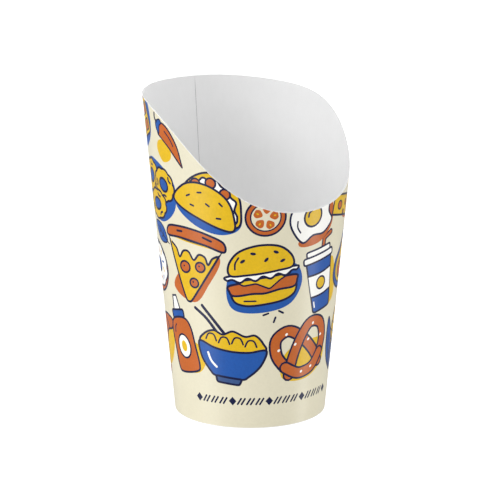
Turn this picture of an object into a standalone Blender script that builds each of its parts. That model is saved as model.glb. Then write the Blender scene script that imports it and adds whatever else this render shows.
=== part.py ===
"""An empty paper scoop cup for chips: a tapered board wall with a slanting cut mouth, and a pressed board base.

Units are metres. The cup stands on Z = 0. Its low lip faces -Y, its tall back and its glued seam face +Y, and the
middle of its bounding box is on the Z axis. A turn is an angle round the cup from its back, counter-clockwise as
seen from above.
"""

import math

import bmesh
import bpy

MM = 0.001

# The wall: a blank of cup board rolled into a cone, standing on the fold at its foot.
BOARD = 0.4 * MM
BASE_RADIUS = 30.0 * MM
FLARE = 0.093  # radius gained for each unit of height
BACK_HEIGHT = 128.5 * MM
FRONT_HEIGHT = 86.7 * MM

# The cut of the mouth: waves round the rim that leave the back and front heights as they are, as (waves, height).
CUT_WAVES = ((2, -5.36 * MM), (3, -1.2 * MM), (4, 1.26 * MM), (6, -0.24 * MM))
# The blank is rolled a little out of square, which lifts one shoulder of the cut, as (waves, height).
CUT_LEAN = ((2, 0.68 * MM), (3, -0.43 * MM))

# The seam: the blank's ends lap over each other at the back, and the wall eases in and out to meet them.
LAP_HALF_TURN = math.radians(6.2)
LAP_EASE_TURN = math.radians(14.0)
LAP_EDGE_TURN = math.radians(0.15)
LAP_STARTS = 8.8 * MM  # below this the lap is pressed flat
LAP_FULL = 12.0 * MM

# The foot: the wall's lower end folds in and up behind the skirt of the base.
GLUE_GAP = 0.3 * MM
HEM_HEIGHT = 6.6 * MM
FOLD_RADIUS = 0.5 * MM

# The base: a disc pressed up into a shallow upside-down tray.
FLOOR_HEIGHT = 8.0 * MM
BASE_BEND = 1.0 * MM
SKIRT_CLEARANCE = 0.4 * MM

STATIONS = 72
BEND_STEPS = 3

AXIS_Y = -FLARE * (BACK_HEIGHT - FRONT_HEIGHT) / 2


def clear_scene():
    for old in list(bpy.data.objects):
        bpy.data.objects.remove(old)


def board_material(name, colour, roughness):
    material = bpy.data.materials.new(name)
    material.use_nodes = True
    surface = material.node_tree.nodes["Principled BSDF"]
    surface.inputs["Base Color"].default_value = (*colour, 1.0)
    surface.inputs["Roughness"].default_value = roughness
    surface.inputs["Metallic"].default_value = 0.0
    return material


def outer_radius(height):
    return BASE_RADIUS + FLARE * height


def rim_height(turn):
    """Height of the cut edge. A wave of an odd count has the plain slope of the cut taken off it."""
    middle = (BACK_HEIGHT + FRONT_HEIGHT) / 2
    slope = (BACK_HEIGHT - FRONT_HEIGHT) / 2
    height = middle + slope * math.cos(turn)
    for waves, depth in CUT_WAVES:
        level = math.cos(turn) if waves % 2 else 1.0
        height += depth * (math.cos(waves * turn) - level)
    for waves, lift in CUT_LEAN:
        height += lift * math.sin(waves * turn)
    return height


def lap_shifts(turn):
    """How far the outer and the inner face of the wall stand out from the plain cone, for the lap of the seam."""
    half_board = BOARD / 2
    if abs(turn) <= LAP_HALF_TURN:
        return half_board, -half_board
    away = min((abs(turn) - LAP_HALF_TURN) / LAP_EASE_TURN, 1.0)
    eased = half_board * (1 + math.cos(math.pi * away)) / 2
    shift = math.copysign(eased, -turn)
    return shift, shift


def arc(centre_radius, centre_height, radius, start_degrees, end_degrees):
    """Points of a bend, as (radius, height) pairs."""
    points = []
    for step in range(BEND_STEPS + 1):
        angle = math.radians(start_degrees + (end_degrees - start_degrees) * step / BEND_STEPS)
        points.append((centre_radius + radius * math.cos(angle), centre_height + radius * math.sin(angle)))
    return points


def wall_section(turn):
    """The wall cut through at a turn: down the outside, round the fold, up the hem, and back up the inside."""
    rim = rim_height(turn)
    outer_shift, inner_shift = lap_shifts(turn)
    hem_outside = -2 * BOARD - 2 * GLUE_GAP
    hem_inside = hem_outside - BOARD
    section = [
        (outer_radius(rim) + outer_shift, rim),
        (outer_radius(LAP_FULL) + outer_shift, LAP_FULL),
        (outer_radius(LAP_STARTS), LAP_STARTS),
    ]
    section += arc(BASE_RADIUS - FOLD_RADIUS, FOLD_RADIUS, FOLD_RADIUS, 0, -90)
    section += arc(BASE_RADIUS + hem_inside + FOLD_RADIUS, FOLD_RADIUS, FOLD_RADIUS, -90, -180)
    section += [
        (outer_radius(HEM_HEIGHT) + hem_inside, HEM_HEIGHT),
        (outer_radius(HEM_HEIGHT) + hem_outside, HEM_HEIGHT),
        (outer_radius(BOARD) + hem_outside, BOARD),
        (outer_radius(BOARD) - BOARD, BOARD),
        (outer_radius(LAP_STARTS) - BOARD, LAP_STARTS),
        (outer_radius(LAP_FULL) - BOARD + inner_shift, LAP_FULL),
        (outer_radius(rim) - BOARD + inner_shift, rim),
    ]
    return section


def wall_turns():
    """Turns at which the wall is cut through: evenly all round, and on both sides of each edge of the lap."""
    even = [math.tau * step / STATIONS - math.pi for step in range(STATIONS)]
    edges = [side * (LAP_HALF_TURN + past) for side in (-1, 1) for past in (0.0, LAP_EDGE_TURN)]
    return sorted(even + edges)


def add_object(name, mesh_data, parent, materials):
    thing = bpy.data.objects.new(name, mesh_data)
    bpy.context.scene.collection.objects.link(thing)
    thing.parent = parent
    for material in materials:
        mesh_data.materials.append(material)
    mesh_data.shade_smooth()
    mesh_data.set_sharp_from_angle(angle=math.radians(40))
    return thing


def make_wall(cup, printed, plain):
    """The side wall, lofted through its sections. Its outside above the fold carries the printed colour."""
    printed_rows = 3
    mesh = bmesh.new()
    rings = []
    for turn in wall_turns():
        across, along = -math.sin(turn), math.cos(turn)
        section = wall_section(turn)
        rings.append([mesh.verts.new((radius * across, radius * along, height)) for radius, height in section])
    rows = len(rings[0])
    for index, ring in enumerate(rings):
        following = rings[(index + 1) % len(rings)]
        for row in range(rows):
            below = (row + 1) % rows
            face = mesh.faces.new((ring[row], ring[below], following[below], following[row]))
            face.material_index = 0 if row < printed_rows else 1
    bmesh.ops.recalc_face_normals(mesh, faces=mesh.faces)
    data = bpy.data.meshes.new("side_wall")
    mesh.to_mesh(data)
    mesh.free()
    return add_object("side_wall", data, cup, (printed, plain))


def base_section():
    """Half of the base cut through its middle: the disc, the bend at its rim, and the skirt turned down."""
    skirt_outside = -BOARD - GLUE_GAP
    skirt_inside = skirt_outside - BOARD
    foot = BOARD + SKIRT_CLEARANCE
    bend_height = FLOOR_HEIGHT - BASE_BEND
    bend_radius = outer_radius(bend_height) + skirt_outside - BASE_BEND
    section = [(0.0, FLOOR_HEIGHT)]
    section += arc(bend_radius, bend_height, BASE_BEND, 90, 0)
    section += [(outer_radius(foot) + skirt_outside, foot), (outer_radius(foot) + skirt_inside, foot)]
    section += arc(bend_radius, bend_height, BASE_BEND - BOARD, 0, 90)
    section += [(0.0, FLOOR_HEIGHT - BOARD)]
    return section


def make_base(cup, plain):
    """The base, its half section spun round the cup's axis."""
    mesh = bmesh.new()
    points = [mesh.verts.new((0.0, radius, height)) for radius, height in base_section()]
    edges = [mesh.edges.new(pair) for pair in zip(points, points[1:])]
    bmesh.ops.spin(
        mesh, geom=points + edges, axis=(0, 0, 1), cent=(0, 0, 0), angle=math.tau, steps=STATIONS, use_merge=True
    )
    bmesh.ops.remove_doubles(mesh, verts=mesh.verts, dist=MM / 1000)
    bmesh.ops.recalc_face_normals(mesh, faces=mesh.faces)
    data = bpy.data.meshes.new("base")
    mesh.to_mesh(data)
    mesh.free()
    return add_object("base", data, cup, (plain,))


def build():
    clear_scene()
    cup = bpy.data.objects.new("cup_axis", None)
    bpy.context.scene.collection.objects.link(cup)
    cup.location = (0.0, AXIS_Y, 0.0)
    printed = board_material("printed_board", (0.88, 0.82, 0.62), 0.45)
    plain = board_material("white_board", (0.78, 0.78, 0.77), 0.5)
    make_wall(cup, printed, plain)
    make_base(cup, plain)


build()
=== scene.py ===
"""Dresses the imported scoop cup: an empty paper cup for chips, printed with food drawings, white inside.

Lengths are in millimetres until they become Blender coordinates. A bearing goes round the cup from the low
lip, in degrees, to the right as seen from outside; the tall back is at 180.
"""

import math

import bpy
import numpy
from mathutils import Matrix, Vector
from mathutils.geometry import delaunay_2d_cdt


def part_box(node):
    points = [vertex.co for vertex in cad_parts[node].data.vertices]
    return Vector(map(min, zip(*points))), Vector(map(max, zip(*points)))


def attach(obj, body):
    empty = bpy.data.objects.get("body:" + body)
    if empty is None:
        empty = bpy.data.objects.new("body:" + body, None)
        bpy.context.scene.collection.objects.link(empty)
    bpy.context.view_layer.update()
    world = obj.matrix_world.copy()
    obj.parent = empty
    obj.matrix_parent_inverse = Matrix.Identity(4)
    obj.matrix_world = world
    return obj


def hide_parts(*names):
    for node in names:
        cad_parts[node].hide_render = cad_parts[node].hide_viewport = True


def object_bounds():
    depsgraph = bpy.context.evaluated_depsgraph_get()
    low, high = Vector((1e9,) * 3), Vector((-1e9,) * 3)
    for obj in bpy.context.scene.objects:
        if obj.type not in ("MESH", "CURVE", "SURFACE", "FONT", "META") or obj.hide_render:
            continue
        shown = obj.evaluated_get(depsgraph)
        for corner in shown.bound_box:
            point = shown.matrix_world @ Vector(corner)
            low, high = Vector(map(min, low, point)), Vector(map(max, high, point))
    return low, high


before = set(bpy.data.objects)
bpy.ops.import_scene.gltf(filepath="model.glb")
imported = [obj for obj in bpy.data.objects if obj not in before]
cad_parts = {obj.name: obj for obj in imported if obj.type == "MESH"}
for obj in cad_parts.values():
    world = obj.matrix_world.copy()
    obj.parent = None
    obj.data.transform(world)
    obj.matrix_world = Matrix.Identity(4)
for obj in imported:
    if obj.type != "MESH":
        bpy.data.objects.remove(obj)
cad_low, cad_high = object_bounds()


# ---- camera: a long lens a little above the cup, well to the left of the low lip

MM = 0.001
base_low, base_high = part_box("base")
AXIS_Y = (base_low.y + base_high.y) / 2  # the cup's axis stands here, on X = 0
CAMERA_BEARING = math.radians(-39.1)
CAMERA_RISE = math.radians(13.26)
CAMERA_DISTANCE = 788 * MM
CAMERA_LENS = 143.7
AIM_HEIGHT = 64.2 * MM


def direction(bearing, rise):
    """The way from the cup to something at a bearing, so far above the level."""
    level = math.cos(rise)
    return Vector((math.sin(bearing) * level, -math.cos(bearing) * level, math.sin(rise)))


aim = Vector((0, AXIS_Y, AIM_HEIGHT))
to_camera = direction(CAMERA_BEARING, CAMERA_RISE)
camera = bpy.data.objects.new("camera", bpy.data.cameras.new("camera"))
bpy.context.scene.collection.objects.link(camera)
camera.data.lens = CAMERA_LENS
camera.location = aim + to_camera * CAMERA_DISTANCE
camera.rotation_mode = "QUATERNION"
camera.rotation_quaternion = to_camera.to_track_quat("Z", "Y")
bpy.context.scene.camera = camera
bpy.context.scene.view_settings.view_transform = "Standard"


# ---- side wall, outside: one sheet of cup board, printed flat, die-cut and rolled into a cone. Its
# right-hand end is glued over its left-hand end at the back, so the print stops at a straight step there.

BOARD = 0.4  # thickness of the sheet
BASE_RADIUS = 30.0
FLARE = 0.093  # radius gained for each unit of height
FOLD_RADIUS = 0.5
BACK_HEIGHT = cad_high.z / MM
FRONT_HEIGHT = 86.7
CUT_WAVES = ((2, -5.36), (3, -1.2), (4, 1.26), (6, -0.24))  # waves round the mouth, and their depths
CUT_LEAN = ((2, 0.68), (3, -0.43))  # the same, for what differs from one side to the other
LAP_HALF = 6.2  # half the width of the glued overlap, in degrees of bearing
LAP_LIFT = 0.52 * BOARD  # how far each end of the sheet stands off the plain cone
LAP_EASE = 14.0  # degrees of bearing over which that dies away
LAP_STARTS, LAP_FULL = 8.8, 12.0  # heights between which the lap comes up to its full step
LAP_AT_FOOT = 0.3  # the share of the lap's step that is left where it is pressed flat

SLOPE = math.atan(FLARE)
SHEET_RADIUS = BASE_RADIUS / math.sin(SLOPE)  # the flat blank's foot is an arc of this radius


def rim_height(bearing):
    """Height of the cut edge of the mouth."""
    turn = math.radians(bearing + 180)
    slope = (BACK_HEIGHT - FRONT_HEIGHT) / 2
    height = (BACK_HEIGHT + FRONT_HEIGHT) / 2 + slope * math.cos(turn)
    for waves, depth in CUT_WAVES:
        height += depth * (math.cos(waves * turn) - (math.cos(turn) if waves % 2 else 1.0))
    for waves, lift in CUT_LEAN:
        height += lift * math.sin(waves * turn)
    return height


def lap_shift(bearing, height):
    """How far the sheet stands out from the plain cone: out at its right-hand end, in at its left."""
    from_end = (180 + LAP_HALF - abs(bearing)) - 2 * LAP_HALF
    eased = LAP_LIFT * (1 + math.cos(math.pi * min(max(from_end / LAP_EASE, 0.0), 1.0))) / 2
    raised = min(max((height - LAP_STARTS) / (LAP_FULL - LAP_STARTS), 0.0), 1.0)
    return math.copysign(eased, bearing) * (LAP_AT_FOOT + (1 - LAP_AT_FOOT) * raised)


def around(bearing, radius, height):
    """A place in the scene, from a bearing, a distance from the cup's axis and a height."""
    angle = math.radians(bearing)
    return Vector((radius * math.sin(angle) * MM, AXIS_Y - radius * math.cos(angle) * MM, height * MM))


def on_wall(bearing, height, depth=0.0):
    """A place on the side wall, so deep under its outer face."""
    radius = BASE_RADIUS + FLARE * height + lap_shift(bearing, height) - depth
    return around(bearing, radius, height)


def flatten(points, bearing, height):
    """Shifts a drawing to a bearing and height on the flat blank, standing straight up from its foot."""
    angle = math.radians(bearing) * math.sin(SLOPE)
    reach = SHEET_RADIUS + height / math.cos(SLOPE)
    sine, cosine = math.sin(angle), math.cos(angle)
    placed = []
    for x, y in points:
        placed.append(((reach + y) * sine + x * cosine, (reach + y) * cosine - x * sine - SHEET_RADIUS))
    return placed


def rolled(x, y):
    """The bearing and height on the cup of a point of the flat blank."""
    reach = math.hypot(x, y + SHEET_RADIUS)
    bearing = math.degrees(math.atan2(x, y + SHEET_RADIUS) / math.sin(SLOPE))
    return bearing, (reach - SHEET_RADIUS) * math.cos(SLOPE)


LINE, FINE_LINE = 0.9, 0.7  # widths of the drawn lines
MITRE_LIMIT = 1.6  # the most that a sharp corner reaches out when its shape grows, for each unit of growth


def smooth(points, closed=True, steps=7):
    """A curve through the points, as a closer row of points."""
    count = len(points)
    found = []
    for index in range(count if closed else count - 1):
        if closed:
            near = [points[(index + step) % count] for step in (-1, 0, 1, 2)]
        else:
            near = [points[min(max(index + step, 0), count - 1)] for step in (-1, 0, 1, 2)]
        for step in range(steps):
            t = step / steps
            weights = (
                -0.5 * t + t * t - 0.5 * t**3,
                1 - 2.5 * t * t + 1.5 * t**3,
                0.5 * t + 2 * t * t - 1.5 * t**3,
                -0.5 * t * t + 0.5 * t**3,
            )
            found.append(tuple(sum(w * p[axis] for w, p in zip(weights, near)) for axis in (0, 1)))
    return found if closed else found + [points[-1]]


def moved(points, x=0.0, y=0.0, turn=0.0, size=1.0):
    """The points turned by some degrees, scaled, and then shifted."""
    cosine, sine = size * math.cos(math.radians(turn)), size * math.sin(math.radians(turn))
    return [(x + px * cosine - py * sine, y + px * sine + py * cosine) for px, py in points]


def oval(x, y, across, up, turn=0.0, bumps=0, depth=0.0):
    """An oval of these half widths, turned by some degrees. Bumps scallop its edge."""
    count = max(16, int(6 * math.sqrt(max(across, up))) * 2, bumps * 6)
    found = []
    for index in range(count):
        angle = math.tau * index / count
        swell = 1 + depth * abs(math.sin(bumps * angle / 2))
        found.append((across * swell * math.cos(angle), up * swell * math.sin(angle)))
    return moved(found, x, y, turn)


def rounded(points, radius):
    """A shape of straight sides with its corners rounded."""
    found = []
    for index, corner in enumerate(points):
        before, after = points[index - 1], points[(index + 1) % len(points)]
        to_before, to_after = math.dist(corner, before), math.dist(corner, after)
        near = min(radius, to_before / 2, to_after / 2)
        start = [c + (b - c) * near / to_before for c, b in zip(corner, before)]
        end = [c + (a - c) * near / to_after for c, a in zip(corner, after)]
        for t in (0, 0.25, 0.5, 0.75, 1):
            ends = zip(start, corner, end)
            found.append(tuple((1 - t) ** 2 * s + 2 * t * (1 - t) * c + t * t * e for s, c, e in ends))
    return found


def swollen(points, by):
    """A closed shape grown outwards all round by a distance, or shrunk if it is negative."""
    turns = sum(a[0] * b[1] - b[0] * a[1] for a, b in zip(points, points[1:] + points[:1]))
    way = math.copysign(1, turns)
    found = []
    for index, (x, y) in enumerate(points):
        before, after = points[index - 1], points[(index + 1) % len(points)]
        across = Vector((0, 0))
        for a, b in ((before, (x, y)), ((x, y), after)):
            across += Vector((b[1] - a[1], a[0] - b[0])).normalized() * way
        size = across.length or 1.0
        reach = by * min(2 / size, MITRE_LIMIT) / size
        found.append((x + across.x * reach, y + across.y * reach))
    return found


def stroke(points, width):
    """A drawn line with round ends, as a closed shape."""
    sides = ([], [])
    for index, (x, y) in enumerate(points):
        before, after = points[max(index - 1, 0)], points[min(index + 1, len(points) - 1)]
        across = Vector((after[1] - before[1], before[0] - after[0])).normalized() * width / 2
        sides[0].append((x + across.x, y + across.y))
        sides[1].append((x - across.x, y - across.y))
    caps = []
    for end, side in ((points[-1], sides[0][-1]), (points[0], sides[1][0])):
        edge = (side[0] - end[0], side[1] - end[1])
        caps.append([moved([edge], *end, 36 * step)[0] for step in range(1, 5)])
    return sides[0] + caps[0] + sides[1][::-1] + caps[1]


class Pen:
    """Lays inked shapes on the flat blank, each over the ones before it."""

    def __init__(self):
        self.shapes = []

    def place(self, bearing, height, turn=0.0, size=1.0):
        """Where the next drawing goes: the bearing and height of its middle, its turn and its size."""
        self.bearing, self.height, self.turn, self.size = bearing, height, turn, size

    def fill(self, points, ink):
        points = moved(points, 0, 0, self.turn, self.size)
        self.shapes.append((flatten(points, self.bearing, self.height), ink))

    def outlined(self, points, ink, line=LINE):
        """A shape with a navy outline."""
        self.fill(swollen(points, line / 2), "navy")
        self.fill(swollen(points, -line / 2), ink)

    def blot(self, ink, *points):
        """A soft-edged patch of colour behind a drawing."""
        self.fill(smooth(points), ink)

    def form(self, ink, *points, line=LINE):
        """An outlined shape with a smooth edge through the points."""
        self.outlined(smooth(points), ink, line)

    def line(self, *points, width=LINE, ink="navy"):
        self.fill(stroke(smooth(points, closed=False, steps=5), width), ink)


def burger(pen):
    pen.blot("blue", (-15, -3), (-13, -11), (-2, -13.5), (10, -12), (16, -4), (13, 4), (0, 2), (-11, 5))
    pen.form("yellow", (-12, -3), (-12.4, -7.5), (-8, -9.8), (0, -10.2), (8, -9.8), (12.4, -7.5),
             (12, -3), (0, -2.5))
    pen.form("orange", (-13, -1), (-13.8, -3.4), (-12, -5.4), (-5, -5.2), (0, -5.7), (6, -5.2), (12, -5.5),
             (13.7, -3.2), (13, -0.8), (0, 0))
    cheese = [(-11, 0.6), (11.5, 0.6), (6.5, -1.4), (2, -4.2), (-3, -1.2), (-8, -1.6)]
    pen.outlined(rounded(cheese, 0.8), "yellow", FINE_LINE)
    ruffle = [(x, 0.6 + 0.7 * (-1) ** step) for step, x in enumerate(range(12, -13, -3))]
    pen.form("white", (-14, 2.6), (0, 3.6), (14, 2.6), (14, 1), *ruffle, (-14, 1))
    pen.form("yellow", (-12.6, 3), (-12.6, 7.5), (-8, 12.3), (0, 14), (8, 12.3), (12.6, 7.5), (12.6, 3),
             (6, 2.6), (-6, 2.6))
    for x, y, turn in ((-7, 8.4, 30), (-2.6, 11, -15), (2.2, 7.8, 40), (6.4, 10.2, -30), (8.6, 6.2, 15)):
        pen.fill(oval(x, y, 1.15, 0.6, turn), "navy")
    pen.line((-10.4, 5.4), (-10, 7.8), (-8.4, 10), width=FINE_LINE)
    pen.line((-8.4, -7.8), (-4, -8.3), width=FINE_LINE)


def hot_dog(pen):
    pen.fill(oval(3, -4, 15, 5.5, 8), "orange")
    pen.form("yellow", (-15, 1), (-13, 6), (-5, 7.6), (6, 7.6), (14, 6), (16, 1), (12, -2), (-12, -2))
    pen.form("orange", (-19, 2.4), (-18, 5), (-14.5, 4.6), (-6, 4.2), (6, 4.2), (15, 4.8), (18.4, 5.2),
             (19.6, 2.6), (17.8, 0), (8, -1.4), (-8, -1.4), (-17, -0.2))
    pen.form("yellow", (-16, -0.4), (-13.5, -6), (-4, -7.8), (6, -7.8), (14, -6), (16.4, -0.4),
             (10, -1.9), (-10, -1.9))
    zigzag = [(x, 1.6 + 1.3 * (-1) ** step) for step, x in enumerate(range(-14, 16, 3))]
    pen.line(*zigzag, width=2.4)
    pen.line(*zigzag, width=1.1, ink="white")
    pen.line((-8, -5.2), (-3, -6), (2, -6.1))
    pen.line((8.5, -4.6), (11, -4))


def pizza(pen):
    pen.blot("orange", (-9, -12), (3, -15), (9, -6), (13, 5), (6, 9), (-4, -2))
    pen.form("yellow", (-11.6, 9.6), (-13, 8), (-3.6, -11), (0, -15.5), (3.6, -11), (13, 8), (11.6, 9.6))
    drip = [(-11, 6.2), (-8, 4.6), (-6, 1.6), (-4.2, 4.6), (-1.4, 5.2), (1.4, 2.4), (3.6, 5.2),
            (6.4, 4.8), (8, 2), (9.6, 4.8), (11.6, 6.2)]
    pen.blot("cream", (11, 8.6), (-11, 8.6), *drip)
    pen.line(*drip)
    pen.form("orange", (-14.2, 8.4), (-13.6, 12.2), (-7, 14.2), (0, 14.8), (7, 14.2), (13.6, 12.2),
             (14.2, 8.4), (7, 9.6), (0, 10), (-7, 9.6))
    for x, y, across in ((-2.8, -1.6, 2.6), (2.2, -7, 2.1), (4.6, 0.2, 2.2)):
        pen.outlined(oval(x, y, across, across * 0.9, 20), "orange", 0.8)
        pen.fill(oval(x - 0.5, y + 0.3, 0.4, 0.4), "navy")
    pen.line((-8, 12), (-5.4, 12.5))
    pen.line((5, 12.7), (8.6, 11.9))


def onion_rings(pen):
    pen.blot("blue", (-13, 2), (-9, -9), (3, -13), (13, -7), (14, 4), (5, 11), (-6, 12))
    for x, y, across, up, turn in ((-5.4, 4.6, 7.6, 6.6, 20), (6.6, 2.6, 7, 6.2, -30),
                                   (-1, -6.2, 8, 5.8, 5)):
        pen.outlined(oval(x, y, across, up, turn, bumps=9, depth=0.08), "yellow")
        pen.outlined(oval(x, y, across * 0.45, up * 0.42, turn), "blue")
        for away in (60, 205, 300):
            spot = math.radians(away + turn)
            to_x, to_y = x + across * 0.74 * math.cos(spot), y + up * 0.74 * math.sin(spot)
            pen.line(*moved([(-1.2, 0), (0, 0.4), (1.2, 0)], to_x, to_y, away + turn + 90))


def drink(pen):
    pen.blot("yellow", (2, -13), (10, -12), (12, -3), (10, 7), (5, 5))
    pen.outlined(stroke([(1.2, 9), (3.4, 18), (8.2, 19.4)], 2.2), "orange", FINE_LINE)
    pen.outlined(rounded([(-8, 9.6), (-5.8, -14), (5.8, -14), (8, 9.6)], 1.5), "blue")
    pen.fill(rounded([(-7.3, 3.6), (-6.4, -6.4), (6.4, -6.4), (7.3, 3.6)], 0.4), "white")
    pen.line((-7.4, 3.7), (0, 3.2), (7.4, 3.7))
    pen.line((-6.6, -6.4), (0, -6.9), (6.6, -6.4))
    pen.outlined(oval(0, -1.4, 2.8, 2.8), "yellow", 0.8)
    pen.outlined(rounded([(-9.2, 12), (-9.2, 9), (9.2, 9), (9.2, 12)], 1.2), "white")
    pen.outlined(rounded([(-7.4, 14.6), (-7.4, 12), (7.4, 12), (7.4, 14.6)], 1), "white")
    pen.line((-5, -9), (-4.8, -11.4), width=FINE_LINE, ink="white")


def corn(pen):
    pen.form("yellow", (-4.8, -9), (-6, 0), (-4.8, 9), (0, 15), (4.8, 9), (6, 0), (4.8, -9), (0, -12))
    for x in (-3, 0, 3):
        pen.line((x * 0.9, -8), (x * 1.2, 1), (x * 0.55, 11.4), width=0.6)
    for y in (-2.5, 1, 4.5, 8):
        pen.line((-5.2, y + 0.5), (0, y - 0.6), (5.2, y + 0.5), width=0.6)
    for side in (-1, 1):
        husk = ((0, -14.4), (6, -11), (10, -3), (11.6, 6.6), (6.6, 1.4), (2.4, -6))
        pen.form("blue", *((side * x, y) for x, y in husk))
    pen.form("slate", (0, -15.4), (-3.6, -9), (-1.2, -2.6), (0.4, 0.6), (2, -3), (4, -9))
    for side in (-1, 1):
        pen.line((side * 8.6, -0.6), (side * 5.4, -7.4), (side * 2.4, -11), width=FINE_LINE)


def pretzel(pen):
    pen.blot("yellow", (-11, -9), (0, -13), (11, -9), (12, 0), (2, 3), (-8, 1))
    arm = ((9, -5), (11.8, 1), (11, 7.6), (5.6, 10), (0.4, 6.2), (-4.6, -1), (-8, -8.6))
    base = ((-9, -5), (-4.4, -8.8), (0, -9.6), (4.4, -8.8), (9, -5))
    for rope in ([(-x, y) for x, y in arm], arm, base):
        pen.line(*rope, width=5.4)
        pen.line(*rope, width=3.7, ink="orange")
    for x, y in ((-10.6, 3), (-6.4, 8.8), (10.8, 2), (6.8, 9), (-2, -9.2), (3.2, -9), (3.4, 3.2),
                 (-3.2, 3.4)):
        pen.fill(oval(x, y, 0.65, 0.5, 30), "white")


def kebab(pen):
    pen.line((0, -19), (0.4, 0), (0, 18.6), width=1.5)
    chunks = (("orange", -10.4, 5.8, 4.0), ("yellow", -4.2, 4.6, 2.6), ("blue", 0.6, 5.2, 2.3),
              ("orange", 6.2, 5.9, 3.8), ("yellow", 12, 4.4, 2.3))
    for ink, y, across, up in chunks:
        corners = [(-across, y - up), (across, y - up * 0.8), (across * 0.94, y + up),
                   (-across * 0.9, y + up * 0.9)]
        pen.outlined(rounded(corners, 2.6), ink)
        pen.line((-across * 0.45, y + up * 0.3), (0, y + up * 0.5), (across * 0.3, y + up * 0.25),
                 width=FINE_LINE)


def fried_egg(pen):
    pen.blot("orange", (-10, -8), (0, -12.4), (10, -9), (13, 0), (6, 3))
    pen.form("white", (-11, 0), (-9, 6), (-3, 8.6), (2, 7.4), (8, 9.4), (12, 4), (9.6, -2), (10.4, -7),
             (4, -9.6), (-2, -7.8), (-8, -8.4))
    pen.outlined(oval(0.4, 0.2, 4.7, 4.4, 10), "yellow")
    pen.line((-2, 1), (-1.2, 2.4), (0.6, 3))
    pen.line((-7.6, -3.8), (-8.2, -1), (-7.4, 1.4), width=FINE_LINE)


def cheese(pen):
    pen.fill(oval(5, -6, 10, 5, 10), "orange")
    pen.outlined([(-13, -1.2), (9, 8.8), (13.4, 2.4), (13.4, -1.2)], "cream")
    pen.outlined([(-13, -1.2), (13.4, -1.2), (13.4, -10), (-13, -9.6)], "yellow")
    for x, y, across in ((-7, -5.6, 2.1), (0.6, -4.6, 1.4), (5.6, -7, 2.3), (9.8, -3.8, 1.1),
                         (-2, -8.4, 0.9)):
        pen.outlined(oval(x, y, across, across * 0.85), "orange", FINE_LINE)
    pen.outlined(oval(6.6, 2.6, 2.2, 1.2, 20), "yellow", FINE_LINE)


def donut(pen):
    pen.outlined(oval(0, 0, 11.4, 10.6), "orange")
    pen.outlined(oval(0, 0.7, 10.2, 9.0, 0, bumps=9, depth=0.07), "white", 0.8)
    pen.outlined(oval(0, 0.4, 3.6, 3.0), "blue")
    for index in range(11):
        angle = math.tau * index / 11 + 0.3
        x, y = (6.6 + index % 2) * math.cos(angle), (5.8 + index % 2) * math.sin(angle) + 0.7
        ink = ("blue", "yellow", "orange")[index % 3]
        pen.line(*moved([(-0.9, 0), (0.9, 0)], x, y, index * 67), width=0.8, ink=ink)


def waffle(pen):
    pen.blot("blue", (-4, -13), (8, -13), (14, -4), (12, 8), (2, 6))
    pen.outlined(rounded([(-11, -10.6), (11, -11), (10.6, 10.8), (-10.8, 10.6)], 3.4), "yellow")
    for x in (-7, -0.2, 6.8):
        for y in (-6.8, 0, 6.8):
            pit = moved([(-2.3, -2.3), (2.3, -2.3), (2.3, 2.3), (-2.3, 2.3)], x, y)
            pen.outlined(rounded(pit, 0.9), "orange", FINE_LINE)
    pen.outlined(rounded([(-3.4, -0.6), (4.4, -2.6), (5.8, 3.4), (-1.8, 5.2)], 1.2), "white")
    pen.line((-0.4, 3), (2.4, 2.4), width=FINE_LINE)


def mushroom(pen):
    pen.blot("yellow", (-8, -8), (-1, -12), (9, -10), (13, -2), (9, 3))
    pen.form("white", (-3.6, 0), (-4.4, -6.6), (-2.6, -9.8), (2.6, -9.8), (4.4, -6.6), (3.6, 0))
    pen.form("orange", (-11, -0.6), (-10, 5.4), (-5, 9.4), (0, 10.4), (5, 9.4), (10, 5.4), (11, -0.6),
             (6, -2.4), (0, -1.6), (-6, -2.4))
    for x, y, across in ((-5.6, 4.2, 1.7), (0.8, 6.2, 2.1), (6, 2.8, 1.4), (-0.8, 1.6, 1.0)):
        pen.fill(oval(x, y, across, across * 0.8), "white")
    pen.line((-1.4, -4.6), (-1.7, -7.4), width=FINE_LINE)


def bottle(pen):
    pen.fill(oval(4, -8, 6.5, 7), "yellow")
    pen.outlined([(-1.3, 18), (1.3, 18), (2.6, 11), (-2.6, 11)], "white", 0.8)
    pen.outlined(rounded([(-4.2, 12), (-4.2, 8.6), (4.2, 8.6), (4.2, 12)], 0.9), "blue")
    pen.form("orange", (-3.8, 8.4), (-6.6, 4.4), (-6.8, -4), (-6.6, -12), (-4.4, -14.2), (4.4, -14.2),
             (6.6, -12), (6.8, -4), (6.6, 4.4), (3.8, 8.4))
    pen.outlined(oval(0, -3.4, 3.9, 5), "white", 0.8)
    pen.fill(oval(0, -3.4, 1.7, 2.4), "yellow")
    pen.line((-4.6, 2.6), (-3.8, 4.8), (-2.8, 5.8), width=FINE_LINE)


def chilli(pen):
    pen.form("orange", (-9.6, 6.2), (-7, 8.4), (-2, 7.4), (3, 3.6), (7, -1.4), (10, -8), (10.8, -10.2),
             (7, -7.4), (1, -3), (-5, 0), (-9.4, 2))
    pen.form("blue", (-11, 4), (-11.8, 7.4), (-8.4, 9.6), (-6.6, 8.2), (-8.2, 6), (-8.2, 2.2), line=0.8)
    pen.line((-11, 7.6), (-13, 9), (-13.4, 11.4), width=1.3)
    pen.line((-3.4, 4.8), (0.8, 2.2), (3.8, -1), width=FINE_LINE)


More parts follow.
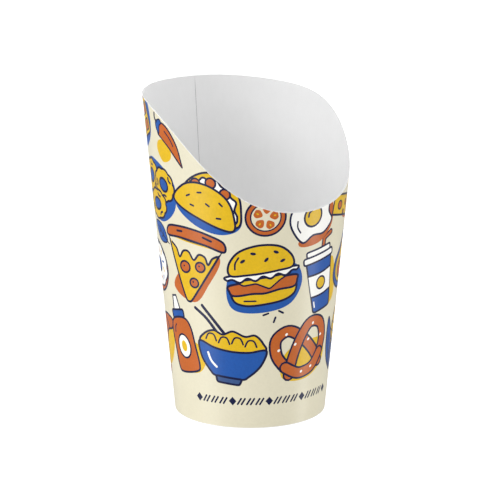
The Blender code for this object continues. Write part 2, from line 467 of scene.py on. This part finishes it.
def noodles(pen):
    for x in (0, 3.2):
        pen.line((-5.6 + x, 7), (-11.4 + x, 12.6), (-17 + x, 15.6 + 0.6 * x), width=1.3)
    pen.form("yellow", (-13, 2), (-12, 6), (-8, 8.4), (-4, 7.4), (0, 9.4), (5, 7.8), (9, 8.6),
             (12.4, 5.4), (13, 2), (0, -1))
    for x, y in ((-8.6, 5.6), (-3, 5.2), (2.4, 5.8), (7.8, 5.2)):
        pen.line((x - 2.4, y - 1.6), (x - 1.4, y + 0.9), (x + 0.8, y + 1), (x + 2.2, y - 1.4),
                 width=FINE_LINE)
    pen.form("blue", (-14, 2.4), (-12.4, -4), (-8, -9), (-5, -10.6), (5, -10.6), (8, -9), (12.4, -4),
             (14, 2.4), (7, 1.2), (0, 0.8), (-7, 1.2))
    pen.outlined(rounded([(-5.4, -10.4), (-4.6, -13), (4.6, -13), (5.4, -10.4)], 0.8), "slate")
    pen.line((-9.6, -1.6), (-8, -4.6), (-5.4, -6.8), ink="white")


def tomato(pen):
    pen.outlined(oval(0, 0, 8.8, 8.2), "orange")
    pen.outlined(oval(0, 0, 6.6, 6.1), "cream", 0.6)
    for index in range(5):
        angle = 72 * index + 12
        wedge = smooth([(1.6, 0), (3.6, -1.9), (5.3, -1.3), (5.5, 0), (5.3, 1.3), (3.6, 1.9)], steps=4)
        pen.fill(moved(wedge, 0, 0, angle), "orange")
        pen.fill(moved(oval(4, 0, 0.6, 0.35), 0, 0, angle), "yellow")


def leaf(pen):
    pen.form("blue", (0, -8), (-4.2, -3), (-4, 3), (0, 8.6), (4, 3), (4.2, -3), line=0.8)
    pen.line((0, -10), (0, -4), (0.2, 5), width=FINE_LINE)
    for side in (-1, 1):
        pen.line((0, -3.4), (side * 2, -1.8), width=0.6)
        pen.line((0.1, 0.4), (side * 1.9, 2), width=0.6)


def croissant(pen):
    pen.fill(oval(2, -5, 12, 6, 0), "yellow")
    pen.form("orange", (-14.6, -6.4), (-12.6, 1), (-7, 6.8), (0, 8.8), (7, 6.8), (12.6, 1), (14.6, -6.4),
             (10.6, -7.4), (6.4, -3), (0, -1.8), (-6.4, -3), (-10.6, -7.4))
    for side in (-1, 1):
        pen.line((side * 10.6, 2.8), (side * 9.8, -1.4), (side * 8.2, -4.6))
        pen.line((side * 5, 7), (side * 4.6, 2.6), (side * 3.6, -1.8))
    pen.line((-1.4, 6), (1.4, 6), width=FINE_LINE)


def taco(pen):
    pen.blot("blue", (-14, -9), (-4, -13), (9, -12), (16, -6), (12, 2), (-4, 2))
    pen.form("yellow", (-12, -6), (-11.5, 2), (-6, 9), (1.5, 11.4), (9, 8.4), (13.6, 1.6), (14.6, -6.4),
             (0, -7))
    salad = []
    for step in range(15):
        reach, angle = 1 + 0.1 * (step % 2), math.pi * step / 14
        salad.append((0.6 + 12 * reach * math.cos(angle), 13 * reach * math.sin(angle) - 5.5))
    pen.form("white", *salad, (0, -7))
    for x, y in ((-7.4, 3.4), (-1.4, 6.6), (5.6, 4.8)):
        pen.outlined(oval(x, y, 2.2, 2.1), "orange", 0.8)
    pen.form("yellow", (-15, -8.6), (-13.4, -1), (-8, 3.6), (-0.5, 5), (7, 3), (12, -2.4), (13.4, -8.6),
             (0, -9.6))
    for x, y, turn in ((-9, -3, 40), (-4.6, 0.6, 20), (-6, -6, 0), (0.4, -2.6, -20), (5.4, 0, -30),
                       (6.6, -5.8, 10)):
        pen.line(*moved([(-0.8, 0), (0.8, 0.2)], x, y, turn), width=0.8)


def avocado(pen):
    pen.fill(oval(4, -5, 8.4, 8), "orange")
    half = ((0, 13), (-4.5, 10), (-6.6, 3), (-9, -4), (-6.5, -10.6), (0, -12.8), (6.5, -10.6), (9, -4),
            (6.6, 3), (4.5, 10))
    pen.form("blue", *half)
    pen.form("yellow", *moved(half, 0, -0.6, 0, 0.78), line=FINE_LINE)
    pen.outlined(oval(0, -4.4, 3.9, 4.1), "orange")
    pen.line((-1.9, -3.8), (-1.2, -2.4), (0.2, -1.9), width=FINE_LINE)


def ice_cream(pen):
    pen.blot("blue", (2, -14), (8, -8), (12, 2), (10, 12), (3, 8))
    pen.outlined(rounded([(-6.6, 0), (6.6, 0), (0.7, -17), (-0.7, -17)], 1), "orange")
    for side in (-1, 1):
        pen.line((side * -4.4, -1), (side * 1.7, -11.6), width=0.6)
        pen.line((side * -0.4, -1), (side * 3.3, -7.4), width=0.6)
    pen.form("yellow", (-8.6, 1.2), (-9.2, 4.6), (-5.9, 6.8), (-6.2, 10.2), (-2.8, 11.8), (0.6, 16.6),
             (2.8, 12), (6, 10), (5.8, 7), (9.2, 4.6), (8.6, 1.2), (4, -0.2), (0, -1.4), (-4, 0))
    pen.line((-5.6, 6.6), (-1, 4.8), (3.4, 5.6))
    pen.line((-2.6, 11.6), (0.4, 9.6), (3, 10.4))
    pen.line((-5.4, 1.9), (-2.6, 1.1), width=FINE_LINE)


def cupcake(pen):
    pen.blot("yellow", (4, -12), (11, -9), (12, 0), (6, 2))
    pen.outlined(rounded([(-8, -1), (-5.8, -11.4), (5.8, -11.4), (8, -1)], 1.2), "blue")
    for x in (-1, 0, 1):
        pen.line((x * 4, -2.6), (x * 3.1, -10), width=FINE_LINE)
    pen.form("white", (-9.4, -1.8), (-10.6, 1.8), (-7.2, 4), (-7, 7.2), (-3, 8.4), (-1.6, 11), (2, 10.8),
             (3.6, 8.2), (7.4, 6.8), (7.2, 3.8), (10.6, 1.6), (9.2, -1.8), (0, -3.2))
    pen.line((-6.8, 3.8), (-2, 2.2), (3, 3))
    pen.line((-2.6, 8.2), (0.4, 6.9), (3.2, 7.6))
    pen.outlined(oval(0.4, 12.6, 2.7, 2.6), "orange", 0.8)
    for x, y, turn in ((-5, 0.2, 30), (0.4, 0, -40), (5.6, 1, 20), (-2.6, 5.2, -20), (4.6, 5.6, 50)):
        pen.line(*moved([(-0.8, 0), (0.8, 0)], x, y, turn), width=0.8, ink="orange")


def cookie(pen):
    pen.fill(oval(2.5, -3, 9, 8), "yellow")
    pen.outlined(oval(0, 0, 9.4, 8.8, 0, bumps=11, depth=0.03), "orange")
    for x, y, turn in ((-4.6, 3.2, 20), (0.8, 5.2, -30), (5.4, 2.2, 10), (-5, -2.6, 60), (0.4, -0.4, 0),
                       (4.2, -4, 40), (-1.2, -5.8, 15)):
        pen.fill(oval(x, y, 1.3, 1.0, turn), "navy")
    pen.line((-7.4, 0.2), (-7, 2.4), width=FINE_LINE)
    pen.line((6.6, -1.4), (6.2, -3.4), width=FINE_LINE)


def yellow_dot(pen):
    pen.blot("yellow", (-5, 0), (-4, 4), (1, 5), (5, 2), (4.4, -3), (-1, -4.6))


def crumbs(pen):
    for x, y, turn in ((-3, 1, 20), (0.5, -1.4, 70), (3, 1.6, -30)):
        pen.line(*moved([(-1, 0), (1, 0)], x, y, turn), width=0.8)


MOTIFS = (
    # drawing, bearing, height, turn in degrees, size: first the row round the foot
    (cupcake, -154.5, 31, -8, 0.92),
    (croissant, -122, 30, 66, 0.93),
    (bottle, -91, 34, 12, 0.95),
    (noodles, -52, 31, -6, 0.97),
    (pretzel, -1, 31, 12, 0.97),
    (corn, 43, 32, -12, 0.95),
    (burger, 92, 31, -8, 0.95),
    (taco, 144, 31, 8, 0.95),
    (yellow_dot, 177.5, 27, 0, 0.8),
    # the second row
    (tomato, -157, 61, 0, 1.0),
    (donut, -120, 60, 0, 0.97),
    (pizza, -78, 65, -8, 0.98),
    (burger, -31, 61, 8, 0.98),
    (drink, 11, 58, 10, 0.9),
    (avocado, 43, 63, -22, 0.95),
    (hot_dog, 87, 61, -14, 0.9),
    (cookie, 132.5, 61, 0, 0.9),
    (drink, 165, 57, -6, 0.92),
    # the third, which the mouth cuts off in front
    (hot_dog, -149, 89, 66, 0.9),
    (onion_rings, -107, 92, 0, 0.97),
    (taco, -63, 92, -22, 0.95),
    (tomato, -30, 85.5, 0, 0.88),
    (fried_egg, 0, 84, 20, 0.92),
    (cheese, 38, 90, -8, 0.95),
    (noodles, 80, 91, 10, 0.93),
    (ice_cream, 115, 91, -12, 0.98),
    (mushroom, 145, 89, 12, 0.96),
    (kebab, 174, 94, 6, 0.88),
    # and the top of the tall back
    (waffle, -126, 120, 20, 0.93),
    (yellow_dot, -94, 108, 0, 0.9),
    (chilli, -89, 112, -10, 0.75),
    (cupcake, -159, 118, 8, 0.9),
    (donut, 120, 118, 0, 0.9),
    (bottle, 157, 118.5, -76, 0.93),
    # small fillers
    (leaf, -107, 75, 60, 0.75),
    (leaf, 66, 46, 20, 0.8),
    (leaf, 101, 110, 50, 0.75),
    (leaf, -135.5, 46.5, -70, 0.6),
    (crumbs, -24, 46, 0, 1.0),
    (crumbs, 66, 76, 40, 1.0),
    (crumbs, 115, 45, 200, 1.0),
)


BORDER_HEIGHT = 11.4
BORDER_START, BORDER_STEP = -78, 6.6  # degrees of bearing
BORDER_SIGNS = 17


def border(pen):
    """A row of diamonds and slanted strokes near the foot, where such cups carry a line of small print."""
    for step in range(BORDER_SIGNS):
        pen.place(BORDER_START + BORDER_STEP * step, BORDER_HEIGHT)
        if step % 4 == 0:
            pen.fill([(0, 1.8), (-1.5, 0), (0, -1.8), (1.5, 0)], "navy")
        else:
            for x in (-1.1, 0.4):
                pen.fill(stroke([(x - 0.5, -1.2), (x + 0.9, 1.2)], FINE_LINE), "navy")


def printed_shapes():
    pen = Pen()
    for drawing, bearing, height, turn, size in MOTIFS:
        pen.place(bearing, height, turn, size)
        drawing(pen)
    border(pen)
    return pen.shapes


class Surface:
    """A material's node tree, and the few calls that build it."""

    def __init__(self, name):
        self.material = bpy.data.materials.new(name)
        self.material.use_nodes = True
        self.tree = self.material.node_tree
        self.shader = self.tree.nodes["Principled BSDF"]
        self.place = self.node("ShaderNodeTexCoord").outputs["Object"]

    def node(self, kind, settings=None, sockets=None):
        """A new node: its settings first, then the values or links of its sockets."""
        made = self.tree.nodes.new(kind)
        for name, value in (settings or {}).items():
            setattr(made, name, value)
        for name, value in (sockets or {}).items():
            self.feed(made.inputs[name], value)
        return made

    def feed(self, socket, value):
        source = value.socket if isinstance(value, Number) else value
        if isinstance(source, bpy.types.NodeSocket):
            self.tree.links.new(source, socket)
        else:
            socket.default_value = source

    def noise(self, scale, detail, stretch=None):
        """Soft random spots, so many to a metre, which may be drawn out along the axes."""
        place = self.place
        if stretch:
            sockets = {0: place, 1: stretch}
            place = self.node("ShaderNodeVectorMath", {"operation": "MULTIPLY"}, sockets).outputs[0]
        sockets = {"Vector": place, "Scale": scale, "Detail": detail}
        return Number(self, self.node("ShaderNodeTexNoise", None, sockets).outputs["Fac"])

    def carried(self, name):
        """The number that a mesh's points carry under this name."""
        return Number(self, self.node("ShaderNodeAttribute", {"attribute_name": name}).outputs["Fac"])

    def mix(self, share, first, second):
        """A colour between two, which is the first at 0 and the second at 1."""
        sockets = {"Factor": share, "A": first, "B": second}
        made = self.node("ShaderNodeMix", {"data_type": "RGBA"})
        for socket in made.inputs:
            if socket.name in sockets and socket.enabled:
                self.feed(socket, sockets[socket.name])
        return next(socket for socket in made.outputs if socket.enabled)

    def finish(self, colour, roughness, bump=None, strength=0.25, distance=0.02, specular=0.5):
        """Feeds the shader, with the bump's depth in millimetres, and gives the material."""
        self.feed(self.shader.inputs["Base Color"], colour)
        self.feed(self.shader.inputs["Roughness"], roughness)
        self.shader.inputs["Specular IOR Level"].default_value = specular
        if bump is not None:
            sockets = {"Height": bump, "Strength": strength, "Distance": distance * MM}
            made = self.node("ShaderNodeBump", None, sockets)
            self.feed(self.shader.inputs["Normal"], made.outputs["Normal"])
        return self.material


class Number:
    """A shader socket that sums, products and comparisons turn into Math nodes."""

    def __init__(self, surface, socket):
        self.surface = surface
        self.socket = socket

    def maths(self, operation, first, second):
        made = self.surface.node("ShaderNodeMath", {"operation": operation}, {0: first, 1: second})
        return Number(self.surface, made.outputs[0])

    def __add__(self, other):
        return self.maths("ADD", self, other)

    __radd__ = __add__

    def __sub__(self, other):
        return self.maths("SUBTRACT", self, other)

    def __rsub__(self, other):
        return self.maths("SUBTRACT", other, self)

    def __mul__(self, other):
        return self.maths("MULTIPLY", self, other)

    __rmul__ = __mul__

    def __gt__(self, other):
        return self.maths("GREATER_THAN", self, other)

    def __lt__(self, other):
        return self.maths("LESS_THAN", self, other)

    def clamped(self, low, high):
        """0 at low, 1 at high, and straight between."""
        sockets = {"Value": self, "From Min": low, "From Max": high}
        made = self.surface.node("ShaderNodeMapRange", None, sockets)
        return Number(self.surface, made.outputs["Result"])


def shade(colour, by):
    return tuple(min(part * by, 1.0) for part in colour) + (1.0,)


def from_screen(red, green, blue):
    """A colour as screens show it, out of 255, as the light that it stands for."""
    return tuple(((part / 255 + 0.055) / 1.055) ** 2.4 for part in (red, green, blue))


INKS = {
    "cream": from_screen(212, 206, 182),
    "white": from_screen(236, 235, 230),
    "yellow": from_screen(212, 172, 2),
    "orange": from_screen(182, 91, 28),
    "blue": from_screen(20, 79, 158),
    "slate": from_screen(52, 79, 128),
    "navy": from_screen(6, 16, 60),
}
BARE_BOARD = from_screen(247, 247, 247)
VARNISH_SPECULAR = 0.25
BARE_LEAST, BARE_WANDER = 0.02, 0.34  # the unprinted margin along the cut: its least width, and the rest
MARGIN_TONE = 0.84


def ink_material(ink):
    """Ink under satin varnish: mottled by the press, over the board's fine grain, bare along the cut."""
    surface = Surface("print_" + ink)
    cloud = surface.noise(140, 3)
    mottle = surface.noise(1100, 2)
    grain = surface.noise(2600, 3)
    depth = 0.02 if ink in ("cream", "white") else 0.06
    tone = (cloud * 0.4 + mottle * 0.6).clamped(0.35, 0.65)
    colour = surface.mix(tone, shade(INKS[ink], 1 - depth), shade(INKS[ink], 1 + depth))
    bare = surface.carried("from_rim") < surface.noise(900, 2) * BARE_WANDER + BARE_LEAST
    colour = surface.mix(bare, colour, shade(BARE_BOARD, MARGIN_TONE))
    roughness = 0.34 + (cloud - 0.5) * 0.12 + (grain - 0.5) * 0.1
    return surface.finish(colour, roughness, grain + cloud * 2, specular=VARNISH_SPECULAR)


def goes_round(outline, spots):
    """Which of the spots, the rows of an array, lie within a closed outline."""
    start = numpy.array(outline)
    end = numpy.roll(start, -1, axis=0)
    x, y = spots[:, :1], spots[:, 1:]
    side = (end[:, 0] - start[:, 0]) * (y - start[:, 1]) - (x - start[:, 0]) * (end[:, 1] - start[:, 1])
    rises = (start[:, 1] <= y) & (end[:, 1] > y) & (side > 0)
    falls = (start[:, 1] > y) & (end[:, 1] <= y) & (side < 0)
    return rises.sum(axis=1) != falls.sum(axis=1)


def top_inks(shapes, spots):
    """For each spot, the name of the last shape's ink that lies on it, or nothing off the sheet."""
    found = numpy.full(len(spots), "", dtype=object)
    for outline, ink in shapes:
        low, high = numpy.min(outline, axis=0), numpy.max(outline, axis=0)
        near = numpy.flatnonzero(((spots >= low) & (spots <= high)).all(axis=1))
        found[near[goes_round(outline, spots[near])]] = ink
    found[~goes_round(shapes[0][0], spots)] = ""
    return found


PRINT_STEPS = 360
UNDER_LAP = 0.3  # how far the print runs on under the lap, in degrees of bearing
MERGE_WITHIN = 1e-4  # points of the blank that lie closer than this are one


def make_print():
    """The printed face: every drawn shape is cut into it, and each piece takes the ink that lies on top."""
    start, end = -180 + LAP_HALF - UNDER_LAP, 180 + LAP_HALF
    bearings = [start + (end - start) * step / PRINT_STEPS for step in range(PRINT_STEPS + 1)]
    rim = [flatten([(0, 0)], bearing, rim_height(bearing))[0] for bearing in bearings]
    foot = [flatten([(0, 0)], bearing, FOLD_RADIUS)[0] for bearing in bearings]
    shapes = [(foot + rim[::-1], "cream")] + printed_shapes()
    points, edges = [], []
    for outline, _ in shapes:
        first, count = len(points), len(outline)
        edges += [(first + index, first + (index + 1) % count) for index in range(count)]
        points += outline
    # upright lines from foot to rim keep the triangles narrow, so that they follow the cone's curve
    for low, high in list(zip(foot, rim))[2:-2:2]:
        edges.append((len(points), len(points) + 1))
        points += [low, high]
    cut = delaunay_2d_cdt([Vector(point) for point in points], edges, [], 0, MERGE_WITHIN, False)
    flat_points = numpy.array(cut[0])
    triangles = numpy.array(cut[2])
    inks = top_inks(shapes, flat_points[triangles].mean(axis=1))
    triangles, inks = triangles[inks != ""], inks[inks != ""]
    kept, triangles = numpy.unique(triangles, return_inverse=True)
    places, normals, depths = [], [], []
    for x, y in flat_points[kept]:
        bearing, height = rolled(x, y)
        places.append(on_wall(bearing, height))
        normals.append(around(bearing, 1 / MM, 0) - Vector((0, AXIS_Y, FLARE)))
        depths.append(rim_height(bearing) - height)
    mesh = bpy.data.meshes.new("wall_print")
    mesh.from_pydata(places, [], triangles.reshape(-1, 3).tolist())
    names = list(INKS)
    for ink in names:
        mesh.materials.append(ink_material(ink))
    mesh.polygons.foreach_set("material_index", [names.index(ink) for ink in inks])
    mesh.attributes.new("from_rim", "FLOAT", "POINT").data.foreach_set("value", depths)
    mesh.shade_smooth()
    mesh.normals_split_custom_set_from_vertices([normal.normalized() for normal in normals])
    return mesh


def add_piece(mesh, node):
    """A piece that stands for a node of the model, whose imported part it hides."""
    piece = bpy.data.objects.new(mesh.name, mesh)
    bpy.context.scene.collection.objects.link(piece)
    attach(piece, "root")
    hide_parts(node)
    return piece


add_piece(make_print(), "side_wall")


# ---- side wall, inside: the same sheet's other face, bare white board with a thin clear coat. The
# left-hand end of the sheet lies on top here, so its cut end makes a fine straight line down the back,
# with a painted shadow beside it.


CREASE_ANGLE = math.radians(50)


def lofted(name, rows, closed, material):
    """A smooth surface through rows of points, which may close on themselves."""
    count = len(rows[0])
    spans = len(rows) if closed else len(rows) - 1
    faces = []
    for row in range(spans):
        following = (row + 1) % len(rows)
        for index in range(count - 1):
            faces.append((row * count + index, following * count + index,
                          following * count + index + 1, row * count + index + 1))
    mesh = bpy.data.meshes.new(name)
    mesh.from_pydata([point for row in rows for point in row], [], faces)
    mesh.materials.append(material)
    mesh.shade_smooth()
    mesh.set_sharp_from_angle(angle=CREASE_ANGLE)
    return mesh


# painted shadow: the grey that the board is darkened towards beside the seam's cut end
SEAM_SHADOW_GREY = from_screen(126, 126, 128) + (1.0,)


def board_material(name, colour):
    """Bare coated board: cloudy from its pulp, with a faint upright grain and tooth, and a painted shadow
    beside the seam's cut end.
    """
    surface = Surface(name)
    cloud = surface.noise(90, 4)
    fibre = surface.noise(700, 3, (1, 1, 0.25))
    tooth = surface.noise(2400, 3)
    tone = (cloud * 0.6 + fibre * 0.4).clamped(0.3, 0.7)
    board = surface.mix(tone, shade(colour, 0.975), shade(colour, 1.012))
    # painted shadow of the seam's cut end, mixed into the board's colour where the mesh carries it
    seam_shadow_share = surface.carried("seam_shadow_paint") * (0.7 + 0.5 * cloud)
    roughness = 0.5 + (cloud - 0.5) * 0.12 + (tooth - 0.5) * 0.08
    return surface.finish(surface.mix(seam_shadow_share, board, SEAM_SHADOW_GREY), roughness, tooth + fibre + cloud * 2)


INSIDE_STEPS = 24
SEAM_SHADOW, SEAM_DEEP = 0.66, 0.43  # degrees from the cut end, to where its shadow ends and is full
# the painted shadow beside the seam fades in over this length below the mouth
SEAM_TIGHT = 4.0  # the sheet's ends lie tight together over this length below the mouth
inside_board = board_material("inside_board", BARE_BOARD)
inside_end = 180 - LAP_HALF
inside_bearings = [inside_end - 360 + step for step in range(360)]
inside_bearings += [inside_end - SEAM_SHADOW, inside_end - SEAM_DEEP, inside_end]
rows, painted_seam_shadows = [], []
for bearing in inside_bearings:
    rim = rim_height(bearing)
    depths = [(rim - BOARD) * step / INSIDE_STEPS for step in range(INSIDE_STEPS + 1)]
    rows.append([on_wall(bearing, rim - depth, BOARD) for depth in depths])
    # painted shadow: on the last bearings before the cut end, fading in below the mouth
    shadow = float(bearing > inside_end - SEAM_SHADOW)
    painted_seam_shadows += [shadow * min(depth / SEAM_TIGHT, 1.0) for depth in depths]
inside_mesh = lofted("wall_inside", rows, False, inside_board)
inside_mesh.attributes.new("seam_shadow_paint", "FLOAT", "POINT").data.foreach_set("value", painted_seam_shadows)
add_piece(inside_mesh, "side_wall")


# ---- cut edges of the side wall: where the die cut the mouth, and the two ends of the sheet at the seam,
# the board shows its raw white core, a little rough and pressed over at its corners. Its colour is set
# well below the bare board's, partly as painted shade of the rough cut face.

# both tones sit well below the bare board's: partly the core's own colour, partly painted shade of its
# rough face
CORE_DARK, CORE_LIGHT = 0.7, 0.78  # tones of the board's layers
edge_surface = Surface("cut_edge")
layers = edge_surface.noise(1500, 3, (1, 1, 3))
fuzz = edge_surface.noise(5000, 2)
dark_layer, light_layer = shade(BARE_BOARD, CORE_DARK), shade(BARE_BOARD, CORE_LIGHT)
edge_colour = edge_surface.mix(layers.clamped(0.3, 0.7), dark_layer, light_layer)
edge_roughness = 0.75 + (fuzz - 0.5) * 0.2
cut_edge = edge_surface.finish(edge_colour, edge_roughness, fuzz + layers * 2, strength=0.5, distance=0.03)

PRESSED = 0.06  # how far a cut pulls its corners over
RIM_SECTION = ((0.0, -PRESSED), (0.15, 0.0), (0.5, 0.02), (0.85, 0.0), (1.0, -PRESSED))
SEAM_SECTION = (0.0, 0.3, 0.7, 1.0)
RIM_STEPS, SEAM_STEPS = 720, 60

rows = []
for step in range(RIM_STEPS + 1):
    bearing = (180 + LAP_HALF) * (2 * step / RIM_STEPS - 1)
    rim = rim_height(bearing)
    rows.append([on_wall(bearing, rim + lift, BOARD * share) for share, lift in RIM_SECTION])
add_piece(lofted("rim_edge", rows, False, cut_edge), "side_wall")

for name, side in (("outer_seam_edge", 1), ("inner_seam_edge", -1)):
    rows = []
    bearing = side * (180 + LAP_HALF)
    for step in range(SEAM_STEPS + 1):
        height = FOLD_RADIUS + (rim_height(bearing) - FOLD_RADIUS) * step / SEAM_STEPS
        rows.append([on_wall(bearing, height, BOARD * share) for share in SEAM_SECTION])
    add_piece(lofted(name, rows, False, cut_edge), "side_wall")


# ---- foot of the side wall: the sheet folds in under itself and up behind the skirt of the base, and the
# cup stands on the fold. The cream print runs round the fold and stops; behind it the hem is white.

GLUE_GAP = 0.3
HEM_HEIGHT = 6.6
HEM_OUTSIDE = -2 * BOARD - 2 * GLUE_GAP
HEM_INSIDE = HEM_OUTSIDE - BOARD
BEND_STEPS = 8
SPUN_STEP = 2  # degrees of bearing


def bend(centre_radius, centre_height, radius, start, end):
    """Points of a bend, as (radius, height) pairs, between two angles in degrees."""
    found = []
    for step in range(BEND_STEPS + 1):
        angle = math.radians(start + (end - start) * step / BEND_STEPS)
        found.append((centre_radius + radius * math.cos(angle), centre_height + radius * math.sin(angle)))
    return found


def spun(name, section, material, node="side_wall"):
    """A section carried once round the cup's axis."""
    rows = []
    for bearing in range(0, 360, SPUN_STEP):
        rows.append([around(-bearing, radius, height) for radius, height in section])
    return add_piece(lofted(name, rows, True, material), node)


cone_at_fold = BASE_RADIUS + FLARE * FOLD_RADIUS
fold = bend(cone_at_fold - FOLD_RADIUS, FOLD_RADIUS, FOLD_RADIUS, 0, -90)
spun("foot_fold", fold, bpy.data.materials["print_cream"])
hem = bend(BASE_RADIUS + HEM_INSIDE + FOLD_RADIUS, FOLD_RADIUS, FOLD_RADIUS, -90, -180)
hem = [fold[-1]] + hem + [
    (BASE_RADIUS + FLARE * HEM_HEIGHT + HEM_INSIDE, HEM_HEIGHT),
    (BASE_RADIUS + FLARE * HEM_HEIGHT + HEM_OUTSIDE, HEM_HEIGHT),
    (BASE_RADIUS + HEM_OUTSIDE, BOARD),
    (BASE_RADIUS - BOARD, BOARD),
]
spun("foot_hem", hem, inside_board)


# ---- base: a round of board pressed up into a shallow tray upside down, its skirt glued between the wall
# and the hem. The press leaves a shallow ring near its edge.

FLOOR_HEIGHT = 8.0
BASE_BEND = 1.0
SKIRT_FOOT = 0.8
RING_RADIUS, RING_WIDTH, RING_DEPTH = 24.6, 1.6, 0.1
FLAT_RADII = (0.001, 8, 16)  # points of the flat middle, the first all but on the axis
# painted shade: the base is the same white board as the wall, set a little darker so that the lamp overhead
# does not wash it out
BASE_PAINTED_SHADE = 0.95
skirt_outside = -BOARD - GLUE_GAP
skirt_radius = BASE_RADIUS + FLARE * SKIRT_FOOT + skirt_outside
bend_height = FLOOR_HEIGHT - BASE_BEND
bend_radius = BASE_RADIUS + FLARE * bend_height + skirt_outside - BASE_BEND
press_ring = []
for step in (-2, -1, 0, 1, 2):
    sunk = RING_DEPTH * (1 + math.cos(math.pi * step / 2)) / 2
    press_ring.append((RING_RADIUS + RING_WIDTH * step / 4, FLOOR_HEIGHT - sunk))
top = [(radius, FLOOR_HEIGHT) for radius in FLAT_RADII] + press_ring
top += bend(bend_radius, bend_height, BASE_BEND, 90, 0) + [(skirt_radius, SKIRT_FOOT)]
under = [(skirt_radius - BOARD, SKIRT_FOOT)]
under += bend(bend_radius, bend_height, BASE_BEND - BOARD, 0, 90)
under += [(radius, height - BOARD) for radius, height in press_ring[::-1]]
under += [(radius, FLOOR_HEIGHT - BOARD) for radius in FLAT_RADII[::-1]]
base_board = board_material("base_board", shade(BARE_BOARD, BASE_PAINTED_SHADE)[:3])
spun("base_tray", top + under, base_board, "base")


# ---- studio: a white floor under a white dome, so that no horizon shows from any side. The dome is only
# there for the camera, and the floor casts nothing on the cup's gloss: two low lamps give its highlights.

STUDIO_WHITE, STUDIO_GREY = (1.0, 1.0, 1.0, 1.0), (0.3, 0.3, 0.3, 1.0)
STUDIO_RADIUS = 6.0
FILL_LIGHT = 0.45
LAMP_DISTANCE = 1.2
glow = Surface("studio_white")
glow.shader.inputs["Emission Color"].default_value = STUDIO_WHITE
glow.shader.inputs["Emission Strength"].default_value = 1.0
studio_white = glow.finish(STUDIO_GREY, 0.6)


def stage_piece(name, elevations):
    """A round sheet of the studio, from the radius of the studio at some elevations, in degrees."""
    rows = []
    for turn in range(0, 360, 10):
        across = Vector((math.cos(math.radians(turn)), math.sin(math.radians(turn)), 0))
        rows.append([across * out + Vector((0, 0, up)) for out, up in elevations])
    piece = bpy.data.objects.new(name, lofted(name, rows, True, studio_white))
    bpy.context.scene.collection.objects.link(piece)
    return piece


floor_level = -0.02 * MM
arc = [math.radians(rise) for rise in range(0, 91, 10)]
studio_floor = stage_piece("studio_floor", [(0.001, floor_level), (STUDIO_RADIUS, floor_level)])
studio_floor.visible_glossy = False
studio_floor.visible_shadow = False
dome_arc = [(STUDIO_RADIUS * math.cos(rise), STUDIO_RADIUS * math.sin(rise)) for rise in arc]
studio_dome = stage_piece("studio_dome", dome_arc)
studio_dome.visible_diffuse = False
studio_dome.visible_glossy = False
studio_dome.visible_shadow = False

world = bpy.data.worlds.new("studio")
world.use_nodes = True
world.node_tree.nodes["Background"].inputs["Color"].default_value = STUDIO_WHITE
world.node_tree.nodes["Background"].inputs["Strength"].default_value = FILL_LIGHT
bpy.context.scene.world = world


def lamp(name, beside_camera, rise, size, power):
    """A square soft lamp that faces the cup, so many degrees right of the camera and above the level."""
    data = bpy.data.lights.new(name, "AREA")
    data.shape = "SQUARE"
    data.size = size
    data.energy = power
    made = bpy.data.objects.new(name, data)
    bpy.context.scene.collection.objects.link(made)
    towards = direction(CAMERA_BEARING + math.radians(beside_camera), math.radians(rise))
    made.location = aim + towards * LAMP_DISTANCE
    made.rotation_mode = "QUATERNION"
    made.rotation_quaternion = towards.to_track_quat("Z", "Y")


lamp("left_lamp", -65, 35, size=0.6, power=4.1)
lamp("top_lamp", 0, 88, size=0.6, power=8.3)
lamp("right_lamp", 110, 35, size=0.6, power=1.6)
lamp("low_left_lamp", -62, -22, size=0.6, power=3.9)
lamp("low_right_lamp", 84, -22, size=0.3, power=2.4)
